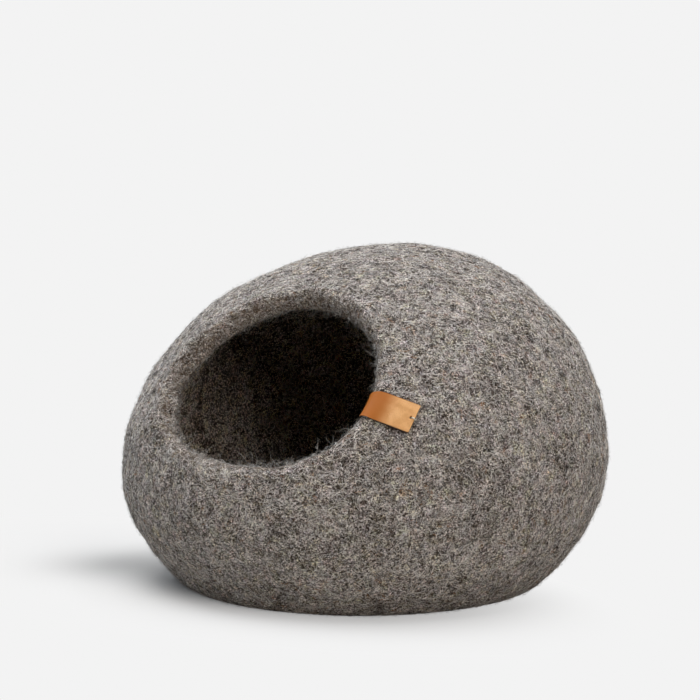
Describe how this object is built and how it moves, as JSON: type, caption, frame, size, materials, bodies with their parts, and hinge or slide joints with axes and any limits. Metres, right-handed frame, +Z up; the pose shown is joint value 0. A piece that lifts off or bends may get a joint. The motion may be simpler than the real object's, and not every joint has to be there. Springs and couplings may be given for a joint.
{
  "type": "felt cat cave",
  "caption": "Rounded hollow of thick felted wool with a flat foot, a slanting oval entrance with a rolled lip, and a plain leather strip folded over the lip.",
  "frame": {"origin": "on the floor, under the middle of the cave's box", "axes": "+Z up; -Y towards the front, where the entrance is; +X to the right seen from the front, the leather strip's side"},
  "size_m": [0.4874, 0.4895, 0.338],
  "materials": {
    "felt": "matte felted wool, mottled brown and grey, fuzzy",
    "leather": "smooth tan leather, satin, darker cut edges"
  },
  "bodies": {
    "root": {"felt_shell": "felt", "leather_tab": "leather"}
  },
  "joints": []
}
